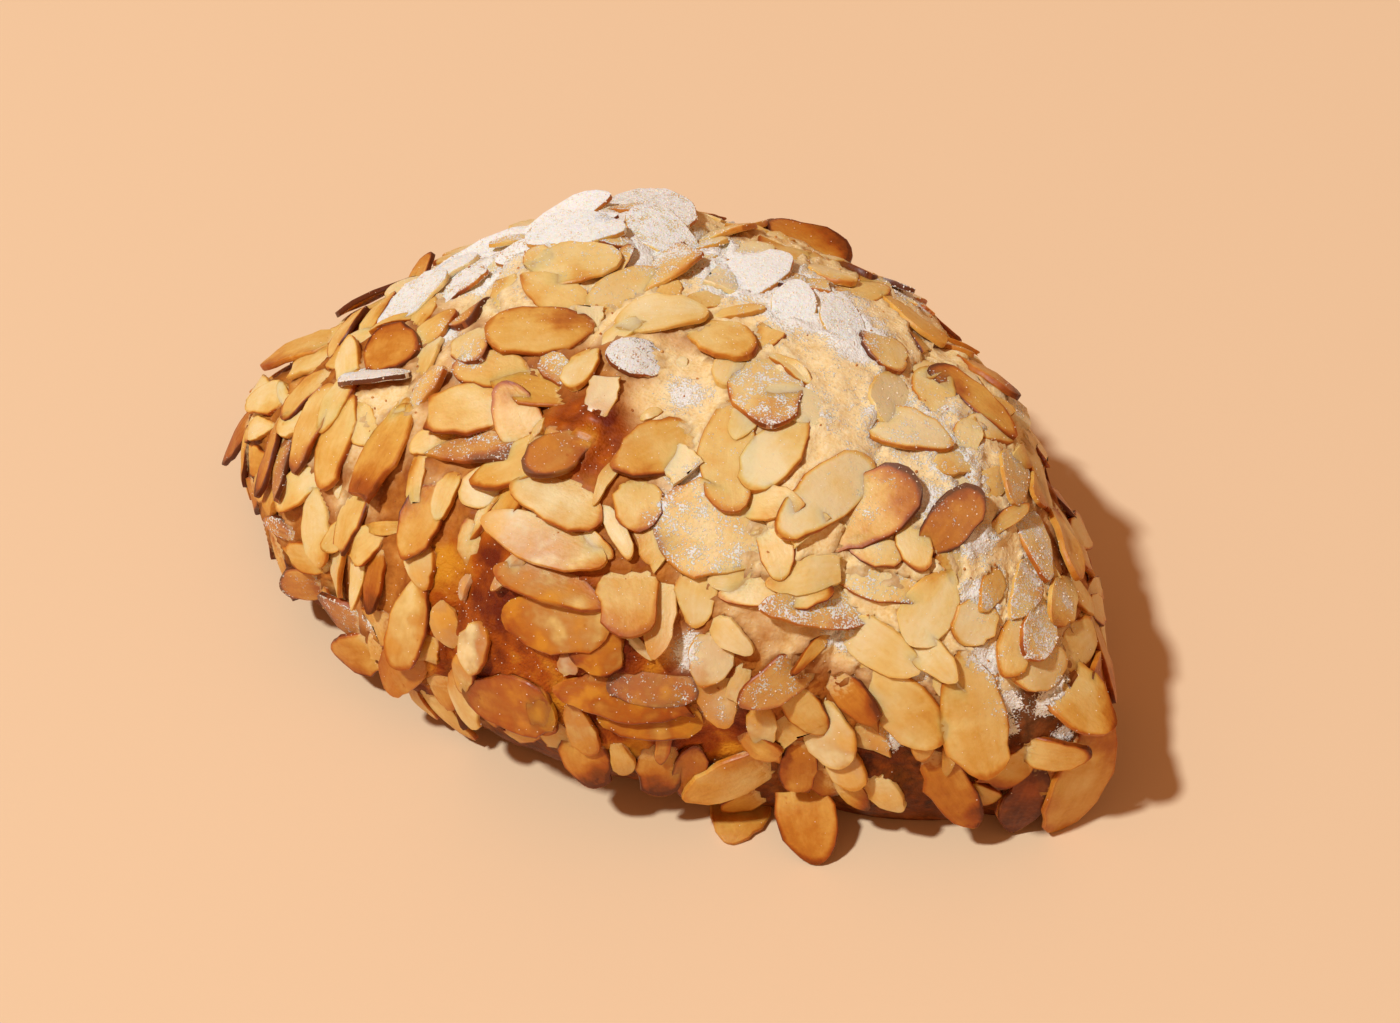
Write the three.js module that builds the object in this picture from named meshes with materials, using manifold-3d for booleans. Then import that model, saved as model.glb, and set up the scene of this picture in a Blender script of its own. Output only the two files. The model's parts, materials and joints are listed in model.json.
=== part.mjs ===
// Almond croissant: one baked body with sliced almonds fused to its crust.
// Millimetres, +Z up. The roll lies along X on the plane Z = 0, with its shown side toward -Y.

import * as THREE from 'three';
import Module from 'manifold-3d';

// Body sizes
const HALF_LENGTH = 77.5;
const FRONT_WIDTH = 46.5;
const BACK_WIDTH = 50;
const CROWN_HEIGHT = 57.5;
const SPINE_SKEW = 5;
const SPINE_BEND = 10;
const TIP_RISE = 8;
const WAIST_SHARE = 0.36;
const UNDERSIDE_SHARE = 0.56;
const CENTRE = { x: -1.147, y: -2.86 };

// How the body narrows from its middle to its left and right tip: power, then roundness
const FRONT_TAPER = { left: [2.1, 0.8], right: [1.25, 0.82] };
const BACK_TAPER = { left: [2, 0.85], right: [1.9, 0.55] };
const CROWN_TAPER = { left: [2, 0.6], right: [2.6, 0.47] };
const SIDE_ROUNDNESS = 0.9;
const CROWN_ROUNDNESS = 0.95;

// Rolled dough: each turn ends in a raised lip
const ROLL_CENTRE = 12;
const ROLL_PITCH = 24;
const ROLL_SLANT = 5;
const ROLL_LIP = 3;
const LIP_SHARPNESS = 6;
const FLAT_TURN_SHARE = 0.35;

// Broad dents: height, waves along X, phase along X, waves round the roll, phase round the roll
const DENTS = [
  [1.2, 0.09, 1.1, 2, 0.6],
  [0.8, 0.17, -0.7, 3, 1.97],
];
const TIP_FADE_POWER = 4;
const TIP_RISE_POWER = 8;

// Body mesh
const RINGS = 40;
const RING_POINTS = 32;

// Almond slices: thin egg-shaped plates, laid on the crust with their free end raised
const SLICE_THICKNESS = 1.4;
const SLICE_RIBS = 4;
const SLICE_POINT = 0.25;
const SLICE_FULLNESS = 0.3;
const SLICE_TIP_WIDTH = 0.8;
const SLICE_DRAPE = 0.7;
const SLICE_SINK = 0.5;
const SLICE_LIFT_SHARE = 0.4;
const LAYER_STEP = 0.6;
const STEEP_TILT = 15;
const FLOOR_GAP = 0.3;
const SEED = 20;

// Slices placed one by one. Each row gives the place along the roll (-1 to 1) and round it in
// degrees (0 front, 90 top), the free end's heading in degrees (0 toward the right tip, 90 up the
// front), the length along that heading, the width across it and the tilt in degrees.
const PLACED_SLICES = [
  // Left tip and the ridge behind it
  [-0.96, 30, -115, 14, 7, 24],
  [-0.79, 38, -55, 17, 6, 10],
  [-0.74, 38, -45, 17, 6, 16],
  [-0.86, 95, 180, 18, 8, 12],
  [-0.74, 90, 70, 11, 7, 8],
  [-0.61, 94, 60, 15, 11, 6],
  [-0.58, 105, 20, 11, 7, 8],
  [-0.53, 112, 118, 6.5, 21, 24],
  [-0.41, 116, 112, 7.5, 22, 36],
  [-0.37, 107.5, 112, 5, 21, 26],
  [-0.33, 108, 92, 10, 17, 12],
  [-0.25, 127, 60, 14, 18, 15],
  [-0.18, 116, 70, 10, 15, 14],
  // Left side
  [-0.68, 51, -85, 16, 8, 6],
  [-0.6, 49, -90, 16, 8, 4],
  [-0.47, 50, -88, 19, 10, 10],
  [-0.57, 77, 95, 10, 11, 14],
  [-0.58, 69, -85, 8, 15, 38],
  [-0.31, 65, -150, 17, 9, 12],
  [-0.44, 66, 40, 12, 5, 20],
  [-0.27, 57, -75, 7, 19, 25],
  [-0.16, 57, -130, 17, 9.5, 16],
  [-0.08, 61, -115, 12, 8, 22],
  [-0.26, 84, -150, 17, 10, 10],
  [-0.2, 73, -80, 9, 16, 18],
  [-0.12, 105, 60, 16, 11, 10],
  [-0.05, 93, 35, 15, 9, 6],
  [-0.16, 97, 65, 15, 9, 8],
  [-0.28, 98, 30, 15, 11, 6],
  [-0.04, 84, -150, 10, 9, 14],
  [-0.13, 79, -70, 10, 7, 6],
  [-0.33, 37, -95, 13, 8, 10],
  [-0.5, 31, -88, 14, 8, 14],
  [-0.6, 22, -80, 13, 7, 6],
  [-0.52, 14, -85, 12, 6, 8],
  [-0.66, 32, -140, 12, 6, 14],
  [-0.31, 11, -97, 17, 8, 10],
  // Left base
  [-0.63, -3, -165, 11, 7, 25],
  [-0.61, 10, -170, 10, 6, 15],
  [-0.5, -4, 170, 12, 9, 30],
  [-0.46, -14, -150, 12, 9, 35],
  [-0.25, -20, -58, 14, 5, 20],
  // Middle
  [-0.05, 52, -92, 8, 16, 16],
  [-0.05, 44, -88, 8, 21, 16],
  [-0.01, 36, -88, 7, 18, 36],
  [0.02, 29, -85, 10, 17, 4],
  [0.14, 38, -80, 13, 10, 28],
  [0.2, 35, -85, 14, 6, 18],
  [0.25, 55, 175, 18, 15, 5],
  [0.08, 68, -130, 14, 10, 8],
  [0.22, 72, -65, 20, 9, 6],
  [0.4, 46, -72, 6, 17, 24],
  [0.49, 47, -72, 8, 23, 28],
  [0.5, 75, 65, 18, 11, 6],
  [0.64, 86, 90, 15, 8, 10],
  [0.42, 72, -110, 20, 9, 5],
  [0.3, 77, -92, 16, 9, 6],
  [0.22, 89, -60, 18, 12, 10],
  [0.08, 93, -15, 14, 9, 10],
  [0.43, 101, -60, 11, 9, 4],
  [0.5, 97, -65, 10, 14, 6],
  // Ridge at the back
  [0.04, 111, 60, 17, 11, 16],
  [0.17, 107, 115, 11, 8, 20],
  [0.27, 110, 140, 12, 8, 16],
  [0.37, 110, -30, 10, 8, 6],
  [0.56, 117, 100, 7, 17, 12],
  [0.04, 146, 85, 11, 17, 33],
  [0.18, 138, -40, 12, 8, 15],
  [0.36, 128, 0, 14, 6, 8],
  [0.69, 112, -60, 14, 8, 8],
  [0.53, 134, -12, 15, 8, 12],
  [0.71, 128, -15, 14, 8, 6],
  [0.8, 126, -25, 16, 7, 8],
  [-0.1, 127, 20, 14, 10, 5],
  // Front base
  [-0.06, 4, -75, 11, 18, 14],
  [0.1, -5, -80, 14, 9, 18],
  [0.24, -7, -88, 13, 8, 16],
  [0.29, -10, -95, 14, 6, 8],
  [0.22, 17, -90, 7, 14, 20],
  [0.17, 14, -90, 8, 21, 22],
  [0.22, 9, -90, 8, 16, 26],
  [0.37, -10, -145, 18, 9, 14],
  [0.49, -24, -82, 18, 10, 60],
  [0.39, -24, -145, 10, 6, 20],
  [0.37, -32, -85, 11, 10, 115],
  [0.44, 24, -145, 14, 8, 22],
  [0.54, 9, -60, 13, 9, 10],
  [0.57, 23, -25, 13, 6, 16],
  [0.65, -8, -40, 10, 6, 16],
  // Right end
  [0.66, 25, -25, 18, 10, 6],
  [0.6, 40, -10, 14, 8, 8],
  [0.67, 59, -90, 12.5, 9, 6],
  [0.83, 72, -75, 13, 6, 10],
  [0.88, 68, -120, 10, 7, 8],
  [0.85, 88, -80, 14, 7, 8],
  [0.77, 107, -20, 14, 8, 6],
  [0.86, 106, -70, 12, 7, 6],
  [0.79, 30, -55, 22, 11, 12],
  [0.77, -3, -58, 18, 8, 14],
  [0.94, 25, 30, 11, 7, 14],
  [0.992, 0, 122, 25, 12, -4],
  [0.9, -16, -105, 16, 8, 10],
  [0.88, -20, -110, 10, 5, 20],
  [0.95, 85, 5, 13.5, 12.5, 32],
];

// Slices scattered between those, largest first: spacing, shortest and longest length
const SCATTER_TIERS = [
  [11, 16, 20],
  [10, 11, 16],
];
// Seats that stay bare
const CLEAR_SEATS = [
  [-0.16, 28], [-0.05, 22], [-0.05, 66], [-0.79, 6], [-0.88, 18],
  [-0.46, 92], [0.33, 32], [0.08, 52], [0.35, 8], [0.1, 82],
  [0.27, 118], [0.36, 118],
];
const SCATTER_TRIES = 1500;
const SCATTER_REACH = 0.95;
const SCATTER_ANGLES = [-12, 192];
const SCATTER_FLOOR = 5;
const SLIVER_CHANCE = 0.2;
const SLIVER_WIDTH_SHARE = 0.27;
const SLICE_WIDTH_SHARES = [0.5, 0.66];
const SNAPPED_CHANCE = 0.3;
const SNAP_SHARES = [0.1, 0.6];
const SCATTER_TILTS = [4, 15];
const STEEP_SPREAD = 50;
const FLAT_SPREAD = 180;

const DEGREE = Math.PI / 180;
const DIFFERENCE = 1e-3;

function mix([low, high], share) {
  return low + (high - low) * share;
}

function signedPower(value, power) {
  return Math.sign(value) * Math.abs(value) ** power;
}

// Repeatable random numbers from 0 to 1
function makeDraw(seed) {
  let state = seed >>> 0;
  return () => {
    state = (Math.imul(1664525, state) + 1013904223) >>> 0;
    return state / 2 ** 32;
  };
}

function taper(t, { left, right }) {
  const [power, roundness] = t < 0 ? left : right;
  return (1 - Math.min(Math.abs(t), 1) ** power) ** roundness;
}

// Height of the rolled dough's lips, which grow outward along each turn and then drop
function rollLip(x, angle) {
  const turns = Math.max(Math.abs(x - ROLL_CENTRE) - ROLL_SLANT * Math.cos(angle), 0) / ROLL_PITCH;
  const share = turns < 1 ? Math.max(turns, FLAT_TURN_SHARE) : turns - Math.floor(turns);
  return ROLL_LIP * Math.sqrt(share) * (1 - share ** LIP_SHARPNESS);
}

function dents(x, angle) {
  let height = 0;
  for (const [size, wavesAlong, phaseAlong, wavesRound, phaseRound] of DENTS) {
    height += size * Math.sin(wavesAlong * x + phaseAlong) * Math.sin(wavesRound * angle + phaseRound);
  }
  return height;
}

// Point of the crust at t along the roll (-1 to 1) and angle round it (0 front, a quarter turn top)
function crust(t, angle) {
  const across = Math.cos(angle);
  const upward = Math.sin(angle);
  const x = HALF_LENGTH * t;
  const width = across > 0 ? FRONT_WIDTH * taper(t, FRONT_TAPER) : BACK_WIDTH * taper(t, BACK_TAPER);
  const height = CROWN_HEIGHT * taper(t, CROWN_TAPER);
  const relief = (1 - Math.abs(t) ** TIP_FADE_POWER) * (rollLip(x, angle) + dents(x, angle));
  const waist = WAIST_SHARE * height + TIP_RISE * t ** TIP_RISE_POWER;
  const reach = upward > 0 ? (1 - WAIST_SHARE) * height : UNDERSIDE_SHARE * height;
  const spine = -SPINE_SKEW * t - SPINE_BEND * t ** 2;
  const y = spine - (width + relief) * signedPower(across, SIDE_ROUNDNESS);
  const z = waist + (reach + relief) * signedPower(upward, CROWN_ROUNDNESS);
  return new THREE.Vector3(x + CENTRE.x, y + CENTRE.y, Math.max(z, 0));
}

// Directions on the crust: along the roll, round it, and out of it
function crustFrame(t, angle) {
  const near = THREE.MathUtils.clamp(t, DIFFERENCE - 1, 1 - DIFFERENCE);
  const along = crust(near + DIFFERENCE, angle).sub(crust(near - DIFFERENCE, angle)).normalize();
  const round = crust(near, angle + DIFFERENCE).sub(crust(near, angle - DIFFERENCE));
  const outward = new THREE.Vector3().crossVectors(along, round).normalize();
  return { along, round: new THREE.Vector3().crossVectors(outward, along), outward };
}

function bodyMesh() {
  const points = [];
  const triangles = [];
  const ringStart = (ring) => 1 + (ring - 1) * RING_POINTS;
  points.push(crust(-1, 0));
  for (let ring = 1; ring < RINGS; ring += 1) {
    const t = -Math.cos((Math.PI * ring) / RINGS);
    for (let k = 0; k < RING_POINTS; k += 1) {
      points.push(crust(t, (2 * Math.PI * k) / RING_POINTS));
    }
  }
  const lastPoint = points.length;
  points.push(crust(1, 0));
  for (let k = 0; k < RING_POINTS; k += 1) {
    const next = (k + 1) % RING_POINTS;
    triangles.push([0, ringStart(1) + k, ringStart(1) + next]);
    for (let ring = 1; ring < RINGS - 1; ring += 1) {
      const [a, b] = [ringStart(ring) + k, ringStart(ring) + next];
      const [c, d] = [ringStart(ring + 1) + k, ringStart(ring + 1) + next];
      triangles.push([a, d, b], [a, c, d]);
    }
    triangles.push([ringStart(RINGS - 1) + k, lastPoint, ringStart(RINGS - 1) + next]);
  }
  return { points, triangles };
}

// Half width of a slice at s along it (-1 to 1): an egg shape, fuller at one end
function sliceHalfWidth(slice, s) {
  const egg = Math.sqrt(1 - s * s) * (1 + slice.point * s);
  const fullest = 1 + SLICE_FULLNESS * Math.abs(slice.point);
  return Math.max(((slice.width / 2) * egg) / fullest, SLICE_TIP_WIDTH / 2);
}

// A thin closed plate built from ribs across the slice, laid on the crust at its seat
function sliceMesh(slice) {
  const angle = slice.angle * DEGREE;
  const { along, round, outward } = crustFrame(slice.t, angle);
  const heading = slice.heading * DEGREE;
  const tilt = slice.tilt * DEGREE;
  const flat = along.clone().multiplyScalar(Math.cos(heading)).addScaledVector(round, Math.sin(heading));
  const side = new THREE.Vector3().crossVectors(outward, flat);
  const ahead = flat.clone().multiplyScalar(Math.cos(tilt)).addScaledVector(outward, Math.sin(tilt));
  const up = new THREE.Vector3().crossVectors(ahead, side);
  const lift = SLICE_LIFT_SHARE * (slice.length / 2) * Math.sin(tilt) + slice.layer * LAYER_STEP;
  const centre = crust(slice.t, angle).addScaledVector(outward, lift + SLICE_THICKNESS / 2 - SLICE_SINK);
  const points = [];
  for (let rib = 0; rib < SLICE_RIBS; rib += 1) {
    const swing = (1 - Math.cos((Math.PI * rib) / (SLICE_RIBS - 1))) / 2;
    const s = -1 + (1 + slice.snap) * swing;
    const middle = centre.clone().addScaledVector(ahead, (s * slice.length) / 2);
    middle.addScaledVector(up, -SLICE_DRAPE * s * s);
    for (const [across, above] of [[-1, 1], [1, 1], [1, -1], [-1, -1]]) {
      const corner = middle.clone().addScaledVector(side, across * sliceHalfWidth(slice, s));
      points.push(corner.addScaledVector(up, (above * SLICE_THICKNESS) / 2));
    }
  }
  const lowest = Math.min(...points.map((point) => point.z));
  const raise = Math.max(FLOOR_GAP - lowest, 0);
  points.forEach((point) => point.setZ(point.z + raise));
  const triangles = [[0, 1, 2], [0, 2, 3]];
  for (let rib = 0; rib < SLICE_RIBS - 1; rib += 1) {
    for (let corner = 0; corner < 4; corner += 1) {
      const [a, b] = [4 * rib + corner, 4 * rib + ((corner + 1) % 4)];
      triangles.push([a, b + 4, b], [a, a + 4, b + 4]);
    }
  }
  const end = 4 * (SLICE_RIBS - 1);
  triangles.push([end, end + 2, end + 1], [end, end + 3, end + 2]);
  return { points, triangles };
}

// Which end of a slice is the fuller one
function drawnPoint(draw) {
  return draw() < 0.5 ? -SLICE_POINT : SLICE_POINT;
}

function placedSlices(draw) {
  return PLACED_SLICES.map(([t, angle, heading, length, width, tilt]) => {
    const point = length > width ? drawnPoint(draw) : 0;
    const layer = tilt < STEEP_TILT ? 1 : 0;
    return { t, angle, heading, length, width, tilt, point, snap: 1, layer };
  });
}

// Heading of the steepest way down at a seat, and how steep the crust is there
function downhill(t, angle) {
  const { along, round, outward } = crustFrame(t, angle);
  return { heading: Math.atan2(-round.z, -along.z) / DEGREE, steepness: Math.hypot(outward.x, outward.y) };
}

function drawnSlice(t, angle, shortest, longest, draw) {
  const length = mix([shortest, longest], draw());
  const sliver = draw() < SLIVER_CHANCE;
  const width = length * (sliver ? SLIVER_WIDTH_SHARE : mix(SLICE_WIDTH_SHARES, draw()));
  const snap = draw() < SNAPPED_CHANCE ? mix(SNAP_SHARES, draw()) : 1;
  const { heading, steepness } = downhill(t, angle);
  const spread = mix([FLAT_SPREAD, STEEP_SPREAD], steepness);
  return {
    t,
    angle,
    length,
    width,
    snap,
    heading: heading + spread * (2 * draw() - 1),
    tilt: mix(SCATTER_TILTS, draw()),
    point: drawnPoint(draw),
    layer: Math.round(draw()),
  };
}

// Adds slices at random seats that keep their distance from every earlier seat
function scatterSlices(slices, draw) {
  const taken = [...slices.map(({ t, angle }) => [t, angle]), ...CLEAR_SEATS];
  const seats = taken.map(([t, angle]) => crust(t, angle * DEGREE));
  for (const [spacing, shortest, longest] of SCATTER_TIERS) {
    for (let attempt = 0; attempt < SCATTER_TRIES; attempt += 1) {
      const t = SCATTER_REACH * (2 * draw() - 1);
      const angle = mix(SCATTER_ANGLES, draw());
      const seat = crust(t, angle * DEGREE);
      const free = seat.z > SCATTER_FLOOR && seats.every((other) => other.distanceTo(seat) > spacing);
      if (free) {
        seats.push(seat);
        slices.push(drawnSlice(t, angle, shortest, longest, draw));
      }
    }
  }
  return slices;
}

const wasm = await Module();
wasm.setup();

function toSolid({ points, triangles }) {
  const vertProperties = new Float32Array(points.flatMap((point) => point.toArray()));
  const triVerts = new Uint32Array(triangles.flat());
  return new wasm.Manifold(new wasm.Mesh({ numProp: 3, vertProperties, triVerts }));
}

// Fuses the slices to the body; the largest outer shell is kept, without scraps and sealed hollows
function fuse(body, slices) {
  const joined = slices.reduce((solid, slice) => solid.add(toSolid(sliceMesh(slice))), toSolid(body));
  return joined.decompose().reduce((best, shell) => (shell.volume() > best.volume() ? shell : best));
}

function toGeometry(solid) {
  const { vertProperties, triVerts } = solid.getMesh();
  const geometry = new THREE.BufferGeometry();
  geometry.setAttribute('position', new THREE.BufferAttribute(vertProperties, 3));
  geometry.setIndex(new THREE.BufferAttribute(triVerts, 1));
  geometry.computeVertexNormals();
  return geometry;
}

const draw = makeDraw(SEED);
const slices = scatterSlices(placedSlices(draw), draw);
const goldenCrust = new THREE.MeshStandardMaterial({ color: 0xd9a866, roughness: 0.6, metalness: 0 });
const croissant = new THREE.Mesh(toGeometry(fuse(bodyMesh(), slices)), goldenCrust);
croissant.name = 'croissant';

const group = new THREE.Group();
group.add(croissant);

export default group;
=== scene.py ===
"""Looks of an almond croissant: baked crust, almond slices, crumbs and powdered sugar.

Sizes are in millimetres until a mesh is made, and in metres in Blender. The roll lies along X.
"""
import json
import math
from collections import namedtuple

import bpy
import numpy as np
from mathutils import Matrix, Vector

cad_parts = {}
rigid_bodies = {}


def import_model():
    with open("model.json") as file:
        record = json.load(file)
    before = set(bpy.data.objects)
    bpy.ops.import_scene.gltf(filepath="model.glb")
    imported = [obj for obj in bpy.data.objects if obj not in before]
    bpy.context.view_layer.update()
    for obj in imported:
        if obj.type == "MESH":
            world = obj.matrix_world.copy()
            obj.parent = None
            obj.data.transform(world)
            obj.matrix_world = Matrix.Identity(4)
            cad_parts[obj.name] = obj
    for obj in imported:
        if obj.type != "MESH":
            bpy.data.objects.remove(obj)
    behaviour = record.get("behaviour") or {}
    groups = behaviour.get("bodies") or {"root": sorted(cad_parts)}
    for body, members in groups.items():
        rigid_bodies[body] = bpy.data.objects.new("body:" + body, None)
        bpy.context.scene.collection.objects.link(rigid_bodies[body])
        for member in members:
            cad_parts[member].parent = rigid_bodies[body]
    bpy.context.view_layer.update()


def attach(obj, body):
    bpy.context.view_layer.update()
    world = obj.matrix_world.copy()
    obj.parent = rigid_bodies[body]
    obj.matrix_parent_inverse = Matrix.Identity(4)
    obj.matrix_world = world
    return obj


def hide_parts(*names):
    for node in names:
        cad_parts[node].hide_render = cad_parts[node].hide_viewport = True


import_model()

NODE = "croissant"
MM = 0.001
DEGREE = math.pi / 180

# Photo framing
PHOTO_WIDTH = 1400
FOCAL_PIXELS = 3300
SENSOR_WIDTH = 36
VIEW_AZIMUTH = 26
VIEW_ELEVATION = 48
VIEW_DISTANCE = 532
VIEW_TARGET = (-1.147, -3.86, 22)
AIM_RIGHT = 4.5
AIM_UP = -0.6

# Light: the key's shadow falls to the camera's right and a little away from it
KEY_ELEVATION = 60
KEY_SHADOW_TURN = 26
KEY_DISTANCE = 4.0
KEY_SIZE = 0.3
KEY_POWER = 136
KEY_COLOUR = (0.93, 1.0, 1.06)
FILL_COLOUR = (0.407, 0.194, 0.094)
FILL_STRENGTH = 1.0
FLOOR_SIZE = 6.0
FLOOR_COLOUR = (0.84, 0.61, 0.377)
FLOOR_SHADE = 0.97

# Body sizes
HALF_LENGTH = 77.5
FRONT_WIDTH = 46.5
BACK_WIDTH = 50
CROWN_HEIGHT = 57.5
SPINE_SKEW = 5
SPINE_BEND = 10
TIP_RISE = 8
WAIST_SHARE = 0.36
UNDERSIDE_SHARE = 0.56
CENTRE = (-1.147, -2.86)
FRONT_TAPER = ((2.1, 0.8), (1.25, 0.82))
BACK_TAPER = ((2, 0.85), (1.9, 0.55))
CROWN_TAPER = ((2, 0.6), (2.6, 0.47))
SIDE_ROUNDNESS = 0.9
CROWN_ROUNDNESS = 0.95
ROLL_CENTRE = 12
ROLL_PITCH = 24
ROLL_SLANT = 5
ROLL_LIP = 3
LIP_SHARPNESS = 6
FLAT_TURN_SHARE = 0.35
DENTS = ((1.2, 0.09, 1.1, 2, 0.6), (0.8, 0.17, -0.7, 3, 1.97))
TIP_FADE_POWER = 4
TIP_RISE_POWER = 8
DIFFERENCE = 1e-3

# Crust mesh: its rings crowd toward the tips, and its points round a ring toward the top
CRUST_RINGS = 290
CRUST_RING_POINTS = 300
CRUST_TOP_SHARE = 0.35
CRUST_END_SHARE = 0.6
UNDERSIDE_FADE = 3

# Almond slices
SLICE_SEAT = 0.7
SLICE_THICKNESS = 0.9
SLICE_THICKNESS_SHARES = (0.8, 1.15)
SLICE_POINT = 0.25
SLICE_FULLNESS = 0.3
SLICE_TIP_WIDTH = 0.1
SLICE_DRAPE = 0.7
SLICE_SINK = 0.5
SLICE_LIFT_SHARE = 0.4
LAYER_STEP = 0.6
STEEP_TILT = 15
FLOOR_GAP = 0.3
SEED = 20
LOOKS_SEED = 77

# Unit slices: ribs across a plate of half length, half width and half thickness 1
SLICE_RIBS = 13
SLICE_SECTION = (
    (-1, 0.5), (-0.95, 1), (0, 1), (0.95, 1), (1, 0.5),
    (1, -0.5), (0.95, -1), (0, -1), (-0.95, -1), (-1, -0.5),
)
SLICE_BEND = 0.26
SLICE_TWIST = 2.2
SLICE_CUP = 2.4
SLICE_LOOKS_POINT = 0.17
SLICE_JAG = 0.1
SLICE_SLANT = 0.4
SLICE_EDGE_SHARES = (0.88, 1.06)
SLICE_TIP_POWERS = (0.4, 0.56)
SHARP_ANGLE = 32
# Whole slices, some chipped: where they end along their half length, and how much fuller that end is
WHOLE_SHAPES = (
    (1, 0.17), (0.88, 0.17), (1, 0.10), (1, 0.20), (1, 0.17),
    (1, 0.06), (1, 0.14), (0.84, 0.17), (1, -0.17),
)
# Broken slices: where they end along their half length
SNAPS = (0.15, 0.3, 0.45, 0.6)

# Random numbers
DRAW_FACTOR = 1664525
DRAW_STEP = 1013904223
DRAW_RANGE = 2**32
EVEN_CHANCE = 0.5

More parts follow.
